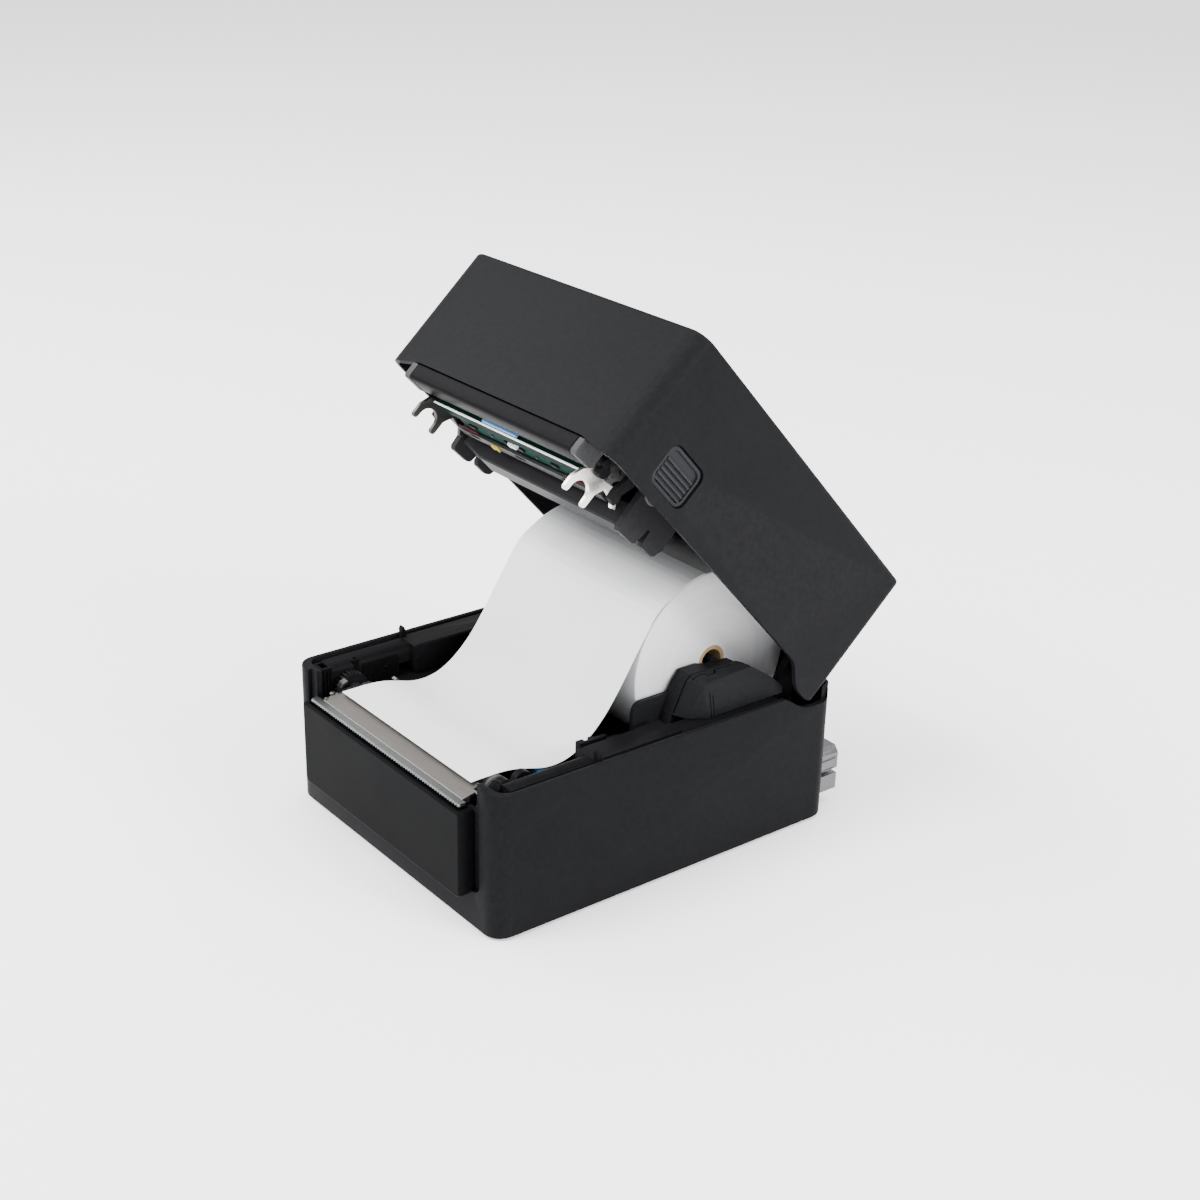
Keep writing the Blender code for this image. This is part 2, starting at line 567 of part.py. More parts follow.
def rocker():
    y0 = HY - 1.4
    pts = [(y0 - 5.5, 14.2), (y0 + 1.4, 14.2), (y0 + 0.4, 21.0), (y0 + 3.0, 27.6),
           (y0 - 5.5, 27.6)]
    sp = Space(pivot("rocker_axis", (-35, HY - 4.0, 21.0), 0, ROOT), (-35, HY - 4.0, 21.0))
    finish("power_rocker", prism("X", pts, -43.6, -26.4), "trim", sp)


# ---------------------------------------------------------------- lid (closed frame)
def lid_cover():
    plan = rrect(-HX, HX, -HY, LID_BACK, (4.5, 4.5, CORNER_R, CORNER_R))
    ob = finish("lid_cover", prism("Z", plan, 60.0, HEIGHT), "case", LID)
    bevel(ob, 2.0, 3, 60)
    ix = HX - LID_WALL
    corner = CORNER_R - LID_WALL
    inner = rrect(-ix, ix, -HY + LID_WALL, LID_BACK - LID_WALL, (2.5, 2.5, corner, corner))
    combine(ob, prism("Z", inner, 50, HEIGHT - LID_WALL), LID)
    # everything below the parting line, except the two rear tongues
    curve = [(-120, 50), (-120, SEAM_Z + 0.5), (68, SEAM_Z + 0.5), (71.6, 76.7),
             (75.4, 75.0), (79.4, 72.0), (83.2, 69.6), (87, 68.4), (91, 68.1), (94.2, 68.1)]
    curve += arc(94.2, 75.9, 7.8, -85, 0, 7) + [(120, 75.9), (120, 50)]
    combine(ob, prism("X", curve, -HX - 5, HX + 5), LID)
    combine(ob, box(-ix, ix, LID_BACK - 8, LID_BACK + 8, 50, 77.0), LID)
    combine(ob, box(-58, 58, LID_BACK - 8, LID_BACK + 8, 60, 83.0), LID)
    # shallow recess along the front lower edge
    rec = [(-80, 50), (-80, 77.0), (-64.6, 80.3), (64.6, 80.3), (80, 77.0), (80, 50)]
    combine(ob, prism("Y", rec, -HY - 5, -HY + 12), LID)
    # windows for the two release buttons
    win = rrect(-79.6, -52.2, 82.6, 104.3, 5.2, 5)
    combine(ob, prism("X", win, -HX - 5, HX + 5), LID)
    # round hole for the feed button, slot for the indicator
    combine(ob, rod("Z", (62, -84), 6.4, 120, 160, 24), LID)
    combine(ob, box(44, 52, -85.5, -82.5, 120, 160), LID)
    # seam step along the rear of the top
    combine(ob, box(-HX - 5, HX + 5, 94.0, 95.2, HEIGHT - 0.5, 160), LID)


def lid_inside():
    # head frame: top plate with two side plates, each ending in two blunt lobes
    ob = finish("head_frame", box(-82, 82, -62, -26, 96.0, 98.5), "inner", LID)
    side = [(-58.0, 97.0), (-57.4, 72.0), (-56.4, 63.6), (-55.0, 62.2), (-44.2, 62.8),
            (-42.6, 64.0), (-41.2, 72.6), (-39.6, 73.2), (-38.9, 66.6), (-37.2, 64.9),
            (-30.0, 65.0), (-27.6, 66.6), (-25.9, 71.6), (-26.4, 80.0), (-28.2, 97.0)]
    for s in (-1, 1):
        lo, hi = sorted((s * 64.6, s * 68.2))
        combine(ob, prism("X", side, lo, hi), LID, "UNION")
    # upper web that joins the plates to the roof of the cover
    combine(ob, box(-60, 60, -56, -44, 97, 142.9), LID, "UNION")
    combine(ob, box(-56, 56, -53, -47, 100, 160), LID)
    for s in (-1, 1):
        # ears for the latch shaft, and relief behind the release buttons
        lo, hi = sorted((s * 62.8, s * 65.8))
        ear = [(-58.0, 98.5), (-66.0, 98.5)] + arc(LATCH_Y, LATCH_Z, 4.6, 125, 320, 14)
        ear += [(-58.0, 91.0)]
        combine(ob, prism("X", ear, lo, hi), LID, "UNION")
        lo, hi = sorted((s * 78.2, s * 85.0))
        combine(ob, box(lo, hi, -66.0, -52.0, 82.4, 110.0), LID)
    combine(ob, rod("X", (LATCH_Y, LATCH_Z), 1.9, -90, 90, 20), LID)
    # front bar under the recess
    pts = [(-104.9, 72.6), (-104.9, 79.9), (-102.1, 79.9), (-102.1, 92.0), (-98.0, 95.0),
           (-92.4, 95.0), (-90.9, 92.0), (-90.9, 73.2), (-92.6, 71.8), (-103.7, 71.3)]
    ob = finish("front_bar", prism("X", pts, -HALF_BAR, HALF_BAR), "inner", LID)
    bevel(ob, 0.6, 1)
    # lower guide bar behind the head, chamfered at both ends
    pts = [(-54.8, 65.4), (-54.0, 64.6), (-42.8, 64.6), (-41.6, 65.4), (-39.6, 76.0),
           (-40.4, 77.0), (-53.4, 77.0), (-54.0, 76.0)]
    rings = []
    for x, i in ((-64.2, 3.4), (-58.0, 2.6), (-46.0, 0.0), (62.6, 0.0), (64.2, 0.8)):
        rings.append([(x, y, min(z + i, 77.0)) for y, z in pts])
    finish("lower_guide", loft(rings), "inner", LID)
    finish("led_lens", box(44.3, 51.7, -85.2, -82.8, HEIGHT - 4, HEIGHT + 0.2),
           "lens", LID)


def head_unit():
    pts = [(-88.2, 74.4), (-88.2, 83.0), (-86.0, 86.0), (-64.0, 89.0), (-57.5, 89.0),
           (-57.5, 83.0), (-64.0, 82.0), (-67.4, 78.0), (-67.4, 74.4)]
    ob = finish("head_bracket", prism("X", pts, -59.2, 59.2), "steel", HEAD)
    bevel(ob, 0.5, 1)
    bm = prism("X", [(-87.6, 71.0), (-87.6, 73.9), (-78.6, 73.9), (-78.6, 71.6),
                     (-81.6, 69.9), (-86.0, 69.9)], -57.0, 57.0)
    finish("thermal_head", bm, "ceramic", HEAD)
    finish("head_board", box(-52.0, 52.0, -78.2, -67.6, 72.4, 74.0), "board", HEAD)
    pts = [(-90.3, 71.4), (-90.3, 74.0), (-88.5, 74.0), (-88.5, 71.4)]
    finish("head_clip", prism("X", pts, -17.0, 10.5), "blue", HEAD)
    # forks that straddle the platen bearings when the lid is shut
    c = (PLATEN_Y, PLATEN_Z)
    fork = arc(c[0], c[1] + 0.4, 5.5, 0, 180, 12)
    fork += [(c[0] - 5.6, 60.4)] + arc(c[0] - 7.2, 60.2, 1.6, 0, -180, 5)
    fork += [(c[0] - 8.8, 66.0), (c[0] - 6.4, 71.6), (c[0] - 3.2, 74.2), (c[0] - 2.6, 78.6),
             (c[0] + 0.6, 80.2), (c[0] + 4.0, 78.6), (c[0] + 5.4, 74.6), (c[0] + 14.0, 76.0),
             (c[0] + 22.0, 72.4), (c[0] + 24.0, 69.2), (c[0] + 21.4, 68.2),
             (c[0] + 19.0, 70.8), (c[0] + 11.6, 72.0), (c[0] + 8.8, 67.0)]
    fork += arc(c[0] + 7.2, 60.2, 1.6, 0, -180, 5)
    for tag, s in (("l", -1), ("r", 1)):
        lo, hi = sorted((s * 60.0, s * 62.2))
        finish("fork_" + tag, prism("X", fork, lo, hi), "steel", HEAD)
        lo, hi = sorted((s * 62.5, s * 66.4))
        finish("fork_cap_" + tag, rod("X", (c[0] + 1.6, 76.4), 3.4, lo, hi, 20),
               "trim", HEAD)


def latch():
    finish("latch_shaft", rod("X", (LATCH_Y, LATCH_Z), 1.8, -78.2, 78.2, 20), "steel", LATCH)
    pts = arc(LATCH_Y, LATCH_Z, 4.6, -10, 190, 12)
    pts += [(LATCH_Y - 3.6, 80.0), (LATCH_Y - 5.6, 72.6), (LATCH_Y - 5.0, 68.2),
            (LATCH_Y - 0.6, 67.4), (LATCH_Y + 0.4, 70.6), (LATCH_Y - 0.6, 73.6),
            (LATCH_Y + 2.2, 80.0)]
    for tag, s in (("l", -1), ("r", 1)):
        lo, hi = sorted((s * 69.0, s * 72.0))
        ob = finish("latch_hook_" + tag, prism("X", pts, lo, hi), "trim", LATCH)
        combine(ob, rod("X", (LATCH_Y, LATCH_Z), 1.9, -90, 90, 20), LATCH)
    spring()


def spring():
    """Torsion spring wound round the latch shaft, a wire curve."""
    turns, per, coil_r, x0, length = 3.5, 12, 2.9, 73.0, 4.4
    curve = bpy.data.curves.new("latch_spring", "CURVE")
    curve.dimensions = "3D"
    curve.bevel_depth = mm(0.45)
    curve.bevel_resolution = 1
    curve.use_fill_caps = True
    line = curve.splines.new("POLY")
    count = int(turns * per) + 1
    line.points.add(count - 1)
    for k in range(count):
        a = 2 * math.pi * k / per
        place = (x0 + length * k / (count - 1), coil_r * math.cos(a), coil_r * math.sin(a))
        line.points[k].co = [mm(c) for c in place] + [1.0]
    ob = bpy.data.objects.new("latch_spring", curve)
    PARTS.objects.link(ob)
    ob.parent = LATCH.empty
    rgb, met, rough = MATS["steel"]
    curve.materials.append(material("latch_spring", rgb, met, rough))


def release_buttons():
    """Dished square keys with five ribs across their lower half."""
    for tag, s in (("l", -1), ("r", 1)):
        lo, hi = sorted((s * 82.0, s * 87.9))
        key = rrect(-79.2, -52.6, 83.0, 103.9, 4.8, 5)
        ob = finish("open_button_" + tag, prism("X", key, lo, hi), "trim", LID)
        bevel(ob, 0.7, 2, 60)
        lo, hi = sorted((s * 86.6, s * 92.0))
        combine(ob, prism("X", rrect(-77.4, -54.4, 84.8, 102.1, 3.2, 4), lo, hi), LID)
        for k in range(5):
            z = 86.2 + 2.6 * k
            lo, hi = sorted((s * 86.2, s * 87.8))
            rib = [(-76.6, z - 0.5), (-55.2, z - 0.5), (-55.2, z + 0.5), (-76.6, z + 0.5)]
            combine(ob, prism("X", rib, lo, hi), LID, "UNION")


def feed_button():
    key = rod("Z", (62, -84), 6.0, HEIGHT - 6.0, HEIGHT + 0.8)
    ob = finish("feed_button", key, "trim", LID)
    bevel(ob, 0.6, 2, 60)


for build in (base_case, front_cover, service_hatch, feet, tear_bar, exit_plate,
              print_chassis, bearings, platen, gear_train, motor, tray, ledges, guides,
              roll, web, sensor, hinge, electronics, rocker, lid_cover, lid_inside,
              head_unit, latch, release_buttons, feed_button):
    build()

bpy.context.view_layer.update()
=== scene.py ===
import json
import math
import random

import bmesh
import bpy
from mathutils import Matrix, Vector


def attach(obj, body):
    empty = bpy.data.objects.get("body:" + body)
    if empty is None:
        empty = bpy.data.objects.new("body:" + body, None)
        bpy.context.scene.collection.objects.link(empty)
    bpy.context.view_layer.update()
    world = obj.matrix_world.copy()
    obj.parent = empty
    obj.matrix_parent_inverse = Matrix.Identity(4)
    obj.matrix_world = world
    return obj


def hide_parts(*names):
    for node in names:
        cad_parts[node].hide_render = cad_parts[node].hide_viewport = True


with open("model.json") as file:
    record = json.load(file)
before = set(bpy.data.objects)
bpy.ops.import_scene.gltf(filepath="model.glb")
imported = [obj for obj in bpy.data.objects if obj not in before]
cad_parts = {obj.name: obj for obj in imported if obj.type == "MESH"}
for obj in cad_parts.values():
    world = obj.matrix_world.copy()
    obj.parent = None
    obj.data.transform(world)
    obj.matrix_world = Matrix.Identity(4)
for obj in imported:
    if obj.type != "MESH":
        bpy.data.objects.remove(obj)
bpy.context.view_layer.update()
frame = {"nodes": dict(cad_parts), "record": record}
random.seed(11)

# ---------------------------------------------------------------- frame of the printer
# Sizes are in millimetres in the closed printer's own frame, with its origin under the
# middle of the case; the model's origin lies CENTRE_Y further back.
CENTRE_Y = 16.25
HINGE_Y, HINGE_Z = 95.0, 84.0
OPEN = math.radians(47.7)
ROLL_Y, ROLL_Z, ROLL_R = 48.3, 91.5, 48.5
ROLL_HALF = 56.9              # half the width of the wound paper
HEAD_HALF = 58.6              # half the length of the print line
MM, PER_M = 0.001, 1000       # metres in a millimetre, millimetres in a metre
LID_BODIES = ("lid", "head", "latch", "open_left", "open_right", "feed_key")


def base_point(x, y, z):
    """Point of the model in metres, from its place on the base."""
    return Vector((x, y - CENTRE_Y, z)) * MM


def lid_point(x, y, z):
    """Point of the open lid, from its place on the closed printer."""
    dy, dz = y - HINGE_Y, z - HINGE_Z
    c, s = math.cos(OPEN), math.sin(OPEN)
    return base_point(x, HINGE_Y + dy * c + dz * s, HINGE_Z - dy * s + dz * c)


# ---------------------------------------------------------------- camera
CAMERA_AZ, CAMERA_EL, CAMERA_ROLL = 52.611, 25.209, 1.011
CAMERA_REACH = 0.98955        # metres from the point it looks at
CAMERA_AIM_Z = 90
CAMERA_LENS, SENSOR_WIDTH = 58.884, 36.0
CAMERA_SHIFT = (0.02967, 0.03939)


def make_camera():
    az, el, roll = (math.radians(a) for a in (CAMERA_AZ, CAMERA_EL, CAMERA_ROLL))
    back = Vector((math.sin(az) * math.cos(el), -math.cos(az) * math.cos(el), math.sin(el)))
    right = Vector((math.cos(az), math.sin(az), 0.0))
    up = back.cross(right)
    x_axis = math.cos(roll) * right + math.sin(roll) * up
    y_axis = -math.sin(roll) * right + math.cos(roll) * up
    data = bpy.data.cameras.new("camera")
    data.lens = CAMERA_LENS
    data.sensor_width = SENSOR_WIDTH
    data.shift_x, data.shift_y = CAMERA_SHIFT
    data.clip_start = 0.05
    data.clip_end = 20.0
    cam = bpy.data.objects.new("camera", data)
    bpy.context.scene.collection.objects.link(cam)
    place = base_point(0, 0, CAMERA_AIM_Z) + back * CAMERA_REACH
    turn = Matrix((x_axis, y_axis, back)).transposed().to_4x4()
    cam.matrix_world = Matrix.Translation(place) @ turn
    bpy.context.scene.camera = cam


# ---------------------------------------------------------------- materials
# depths of a surface's grain are in metres, and colours are linear
EDGE_SPAN = (0.505, 0.56)     # pointiness where edge wear and the painted edge highlight start and where they are full
# share of the paler colour along edges: partly wear, partly a painted highlight
PLASTIC_WEAR_AND_HIGHLIGHT, METAL_WEAR_AND_HIGHLIGHT = 0.35, 0.3
PLASTIC_SHINE = 0.018         # dull moulded plastic, lit from all round
GRAIN_DEPTH = 0.00004
FINE_DEPTH = 0.00002


class Nodes:
    """Small helper to wire a Principled material."""

    def __init__(self, name):
        self.mat = bpy.data.materials.new(name)
        self.mat.use_nodes = True
        self.tree = self.mat.node_tree
        self.tree.nodes.clear()
        self.out = self.add("ShaderNodeOutputMaterial")
        self.bsdf = self.add("ShaderNodeBsdfPrincipled")
        self.link(self.bsdf.outputs[0], self.out.inputs[0])
        coord = self.add("ShaderNodeTexCoord")
        self.place = coord.outputs["Object"]

    def add(self, kind):
        return self.tree.nodes.new(kind)

    def link(self, a, b):
        self.tree.links.new(a, b)

    def noise(self, scale, detail=2.0, rough=0.5, stretch=None, source=None):
        """Noise of the given scale per metre, along the object's own axes."""
        src = source or self.place
        if stretch:
            mapping = self.add("ShaderNodeMapping")
            mapping.inputs["Scale"].default_value = stretch
            self.link(src, mapping.inputs["Vector"])
            src = mapping.outputs[0]
        tex = self.add("ShaderNodeTexNoise")
        tex.inputs["Scale"].default_value = scale
        tex.inputs["Detail"].default_value = detail
        tex.inputs["Roughness"].default_value = rough
        self.link(src, tex.inputs["Vector"])
        return tex.outputs["Fac"]

    def span(self, fac, lo, hi, from_lo=0.25, from_hi=0.75):
        """Stretches the middle of a mask to the range from lo to hi."""
        node = self.add("ShaderNodeMapRange")
        node.inputs["From Min"].default_value = from_lo
        node.inputs["From Max"].default_value = from_hi
        node.inputs["To Min"].default_value = lo
        node.inputs["To Max"].default_value = hi
        self.link(fac, node.inputs["Value"])
        return node.outputs[0]

    def math(self, op, a, b=None):
        node = self.add("ShaderNodeMath")
        node.operation = op
        for socket, value in zip(node.inputs, (a, b)):
            if value is None:
                continue
            if isinstance(value, (int, float)):
                socket.default_value = value
            else:
                self.link(value, socket)
        return node.outputs[0]

    def mix(self, fac, a, b):
        node = self.add("ShaderNodeMix")
        node.data_type = "RGBA"
        if isinstance(fac, (int, float)):
            node.inputs["Factor"].default_value = fac
        else:
            self.link(fac, node.inputs["Factor"])
        ins = [s for s in node.inputs if s.type == "RGBA"]
        for socket, value in zip(ins, (a, b)):
            if isinstance(value, tuple):
                socket.default_value = (*value, 1.0)
            else:
                self.link(value, socket)
        return [s for s in node.outputs if s.type == "RGBA"][0]

    def edges(self):
        """Mask that is 1 along convex edges, where wear and a painted highlight are laid."""
        geo = self.add("ShaderNodeNewGeometry")
        return self.span(geo.outputs["Pointiness"], 0.0, 1.0, *EDGE_SPAN)

    def bump(self, height, strength, distance, under=None):
        node = self.add("ShaderNodeBump")
        node.inputs["Strength"].default_value = strength
        node.inputs["Distance"].default_value = distance
        self.link(height, node.inputs["Height"])
        if under is not None:
            self.link(under, node.inputs["Normal"])
        return node.outputs[0]

    def color(self, value):
        """Base colour, as a tuple or a node's output."""
        if isinstance(value, tuple):
            self.bsdf.inputs["Base Color"].default_value = (*value, 1.0)
        else:
            self.link(value, self.bsdf.inputs["Base Color"])

    def set(self, **sets):
        """Principled inputs by name, as numbers or outputs; an underscore is a space."""
        for key, value in sets.items():
            socket = self.bsdf.inputs[key.replace("_", " ")]
            if isinstance(value, (int, float)):
                socket.default_value = value
            else:
                self.link(value, socket)


def moulded(name, tint, rough, grain=0.00035, strength=0.35):
    """Spark-eroded moulded plastic: fine grain, soft mottling, paler along its edges from wear
    and a painted highlight.
    """
    n = Nodes(name)
    fine = n.noise(1.0 / grain, 3.0, 0.6)
    broad = n.noise(38.0, 3.0, 0.55)
    pale = tuple(min(1.0, c * 1.9 + 0.004) for c in tint)
    dark = tuple(c * 0.86 for c in tint)
    body = n.mix(n.span(broad, 0.0, 1.0, 0.3, 0.7), dark, tint)
    specks = n.mix(n.span(fine, 0.0, 0.35, 0.5, 0.8), body, pale)
    # paler edges: partly wear, partly a painted highlight along the convex edges
    rub_and_highlight = n.math("MULTIPLY", n.edges(), n.span(n.noise(420.0), 0.2, 1.0))
    n.color(n.mix(n.math("MULTIPLY", rub_and_highlight, PLASTIC_WEAR_AND_HIGHLIGHT), specks, pale))
    n.set(Roughness=n.math("ADD", n.span(broad, rough - 0.03, rough + 0.03),
                           n.span(fine, -0.03, 0.03)))
    n.set(Normal=n.bump(fine, strength, GRAIN_DEPTH), IOR=1.5,
          Specular_IOR_Level=PLASTIC_SHINE)
    return n.mat


def satin(name, tint, rough=0.38):
    """The finer grain of the smaller mouldings."""
    return moulded(name, tint, rough, grain=0.0005, strength=0.2)


def paper_material(name):
    """Coated paper with a faint cloud and fibre."""
    n = Nodes(name)
    fibre = n.noise(2600.0, 4.0, 0.65)
    cloud = n.noise(55.0, 3.0)
    n.color(n.mix(n.span(cloud, 0.0, 1.0), (0.70, 0.71, 0.73), (0.74, 0.745, 0.76)))
    n.set(Roughness=n.span(fibre, 0.46, 0.58))
    n.set(Normal=n.bump(fibre, 0.12, FINE_DEPTH), Specular_IOR_Level=0.35)
    return n.mat


def roll_end_material(name, y, z):
    """Edges of the wound paper: fine rings about the roll's axis."""
    n = Nodes(name)
    split = n.add("ShaderNodeSeparateXYZ")
    n.link(n.place, split.inputs[0])
    dy = n.math("SUBTRACT", split.outputs[1], y)
    dz = n.math("SUBTRACT", split.outputs[2], z)
    r = n.math("SQRT", n.math("ADD", n.math("MULTIPLY", dy, dy), n.math("MULTIPLY", dz, dz)))
    merge = n.add("ShaderNodeCombineXYZ")
    n.link(r, merge.inputs[0])
    rings = n.noise(2400.0, 2.0, 0.5, source=merge.outputs[0])
    bands = n.noise(210.0, 2.0, 0.6, source=merge.outputs[0])
    fibre = n.noise(3000.0, 3.0, 0.6)
    tone = n.math("ADD", n.span(rings, -0.35, 0.35, 0.3, 0.7), n.span(bands, 0.2, 0.9))
    n.color(n.mix(tone, (0.56, 0.565, 0.58), (0.68, 0.685, 0.70)))
    n.set(Roughness=n.span(fibre, 0.62, 0.8))
    under = n.bump(fibre, 0.2, 0.00003)
    n.set(Normal=n.bump(rings, 0.3, 0.00005, under))
    return n.mat


def metal(name, tint, rough, speck=0.0, streak=None):
    """Plated or brushed metal with speckle, fine streaks and brighter edges from wear and a
    painted highlight.
    """
    n = Nodes(name)
    fine = n.noise(1500.0, 4.0, 0.7)
    flakes = n.noise(520.0, 2.0, 0.6)
    lines = n.noise(900.0, 3.0, 0.6, stretch=streak) if streak else n.noise(700.0, 3.0)
    dark = tuple(c * 0.62 for c in tint)
    pale = tuple(min(1.0, c * 1.3 + 0.05) for c in tint)
    body = n.mix(n.span(lines, 0.0, 1.0, 0.3, 0.7), tuple(c * 0.9 for c in tint), tint)
    body = n.mix(n.span(flakes, 0.0, speck, 0.52, 0.62), body, dark)
    # brighter edges: partly wear, partly a painted highlight along the convex edges
    n.color(n.mix(n.math("MULTIPLY", n.edges(), METAL_WEAR_AND_HIGHLIGHT), body, pale))
    n.set(Metallic=1.0)
    n.set(Roughness=n.math("ADD", n.span(lines, rough - 0.06, rough + 0.06),
                           n.span(flakes, -0.04, 0.08)))
    under = n.bump(lines, 0.12, FINE_DEPTH)
    n.set(Normal=n.bump(fine, 0.12, FINE_DEPTH, under))
    return n.mat


def rubber_material(name, tint, rough=0.78):
    """Matt rubber with a little dust in its grain."""
    n = Nodes(name)
    fine = n.noise(1800.0, 4.0, 0.7)
    broad = n.noise(120.0, 3.0)
    dust = tuple(c * 1.4 + 0.01 for c in tint)
    n.color(n.mix(n.span(broad, 0.0, 0.6), tint, dust))
    n.set(Roughness=n.span(fine, rough - 0.08, rough + 0.08))
    n.set(Normal=n.bump(fine, 0.3, GRAIN_DEPTH))
    return n.mat


def cardboard_material(name):
    """Wound board with fibres along its turns."""
    n = Nodes(name)
    fibre = n.noise(1500.0, 4.0, 0.7, stretch=(0.25, 1.0, 1.0))
    cloud = n.noise(140.0, 3.0)
    body = n.mix(n.span(fibre, 0.0, 1.0), (0.30, 0.19, 0.09), (0.47, 0.32, 0.17))
    n.color(n.mix(n.span(cloud, 0.0, 0.4), body, (0.22, 0.13, 0.06)))
    n.set(Roughness=n.span(fibre, 0.74, 0.9))
    n.set(Normal=n.bump(fibre, 0.4, 0.00006))
    return n.mat


def board_material(name):
    """Solder resist with faint tracks under it."""
    n = Nodes(name)
    brick = n.add("ShaderNodeTexBrick")
    brick.offset = 0.37
    brick.inputs["Scale"].default_value = 260.0
    brick.inputs["Mortar Size"].default_value = 0.03
    brick.inputs["Color1"].default_value = (0.003, 0.024, 0.018, 1)
    brick.inputs["Color2"].default_value = (0.002, 0.019, 0.014, 1)
    brick.inputs["Mortar"].default_value = (0.005, 0.036, 0.025, 1)
    n.link(n.place, brick.inputs["Vector"])
    cloud = n.noise(150.0, 2.0)
    n.color(n.mix(n.span(cloud, 0.0, 0.35), brick.outputs["Color"], (0.003, 0.020, 0.015)))
    n.set(Roughness=n.span(cloud, 0.42, 0.52))
    n.set(Normal=n.bump(brick.outputs["Fac"], 0.25, 0.00003), Specular_IOR_Level=0.01)
    return n.mat


def glossy(name, tint, rough, coat=0.0, scale=900.0, shine=0.5):
    """Smooth moulded or glazed surface with slight orange peel."""
    n = Nodes(name)
    peel = n.noise(scale, 2.0)
    cloud = n.noise(90.0, 2.0)
    n.color(n.mix(n.span(cloud, 0.0, 1.0), tuple(c * 0.9 for c in tint), tint))
    n.set(Roughness=n.span(peel, rough - 0.03, rough + 0.04))
    n.set(Normal=n.bump(peel, 0.05, 0.00003), Coat_Weight=coat, Specular_IOR_Level=shine)
    return n.mat


ROLL_AXIS = base_point(0, ROLL_Y, ROLL_Z)
LOOKS = {
    "case": moulded("case_plastic", (0.0056, 0.0057, 0.0065), 0.42),
    "trim": satin("trim_plastic", (0.0092, 0.0094, 0.0105)),
    "inner": moulded("inner_plastic", (0.0042, 0.0042, 0.0047), 0.40, grain=0.0006,
                     strength=0.22),
    "rubber_foot": rubber_material("foot_rubber", (0.022, 0.022, 0.022)),
    "platen": rubber_material("platen_rubber", (0.045, 0.045, 0.047), 0.6),
    "gear": glossy("acetal", (0.72, 0.71, 0.67), 0.38, scale=600.0),
    "steel": metal("zinc_steel", (0.34, 0.34, 0.335), 0.30, speck=0.25),
    "plate": metal("exit_metal", (0.13, 0.122, 0.112), 0.5, speck=0.2,
                   streak=(0.08, 1.0, 1.0)),
    "paper": paper_material("thermal_paper"),
    "core": cardboard_material("core_board"),
    "board": board_material("solder_resist"),
    "head_glaze": glossy("glazed_ceramic", (0.78, 0.74, 0.66), 0.2, coat=0.5),
    "blue": glossy("blue_plastic", (0.06, 0.22, 0.50), 0.34),
    "lens": glossy("lens_plastic", (0.16, 0.42, 0.22), 0.22, coat=0.4),
}
ROLL_END = roll_end_material("roll_end", ROLL_AXIS.y, ROLL_AXIS.z)
SPECKLED = metal("speckled_zinc", (0.16, 0.17, 0.168), 0.34, speck=0.75)
DARK_ACETAL = glossy("dark_acetal", (0.008, 0.008, 0.009), 0.36, scale=600.0, shine=0.08)
# lighter copy of the inner plastic, painted light on the bar ends' faces that get little light
SATIN_PAINTED_LIGHT = satin("satin_plastic_painted_light", (0.044, 0.044, 0.046))
# lighter copy of the inner plastic for the lower guide and head frame: painted light
FRAME_PAINTED_LIGHT = satin("frame_plastic_painted_light", (0.018, 0.018, 0.0195))
KEY_PLASTIC = satin("key_plastic", (0.021, 0.0215, 0.024), 0.36)
# darker copy of the inner plastic for the left bay's pieces: painted shade
BAY_PAINTED_SHADE = satin("bay_plastic_painted_shade", (0.0020, 0.0020, 0.0023), 0.42)
# dark tint and dark streaks along the ports stand in for reflections of dark surroundings:
# painted reflection
CHROME_PAINTED_REFLECTION = metal("port_chrome_painted_reflection", (0.13, 0.13, 0.135), 0.22, streak=(1.0, 0.05, 1.0))
# darker copy of the case plastic for the front cover: painted shade; lighter copy for the lid:
# painted light
COVER_PAINTED_SHADE = moulded("cover_plastic_painted_shade", (0.0023, 0.0024, 0.0028), 0.44)
LID_PAINTED_LIGHT = moulded("lid_plastic_painted_light", (0.0072, 0.0073, 0.0082), 0.42)
DARK_ZINC = metal("dark_zinc", (0.10, 0.10, 0.10), 0.34, speck=0.3)
WHITE_GLAZE = glossy("white_glaze", (0.86, 0.86, 0.85), 0.24, coat=0.4)
SUBSTRATE = glossy("head_substrate", (0.004, 0.017, 0.013), 0.5, shine=0.01)
GREY_STEEL = metal("grey_steel", (0.045, 0.045, 0.047), 0.42, speck=0.3)
# dark and bright copies of one nickel plating for the left and right forks: painted shade and
# painted highlight
NICKEL_PAINTED_SHADE = metal("nickel_painted_shade", (0.055, 0.053, 0.050), 0.4, speck=0.3)
NICKEL_PAINTED_HIGHLIGHT = metal("nickel_painted_highlight", (0.92, 0.86, 0.78), 0.36)
YELLOW = glossy("yellow_tag", (0.50, 0.38, 0.05), 0.4, shine=0.1)
RED_LEAD = glossy("red_lead", (0.07, 0.010, 0.012), 0.45, shine=0.05)

BODY_OF = {node: body for body, names in frame["record"]["behaviour"]["bodies"].items()
           for node in names}
SLOT_OF = {row["node"]: row["material_slot"] for row in frame["record"]["subparts"]}
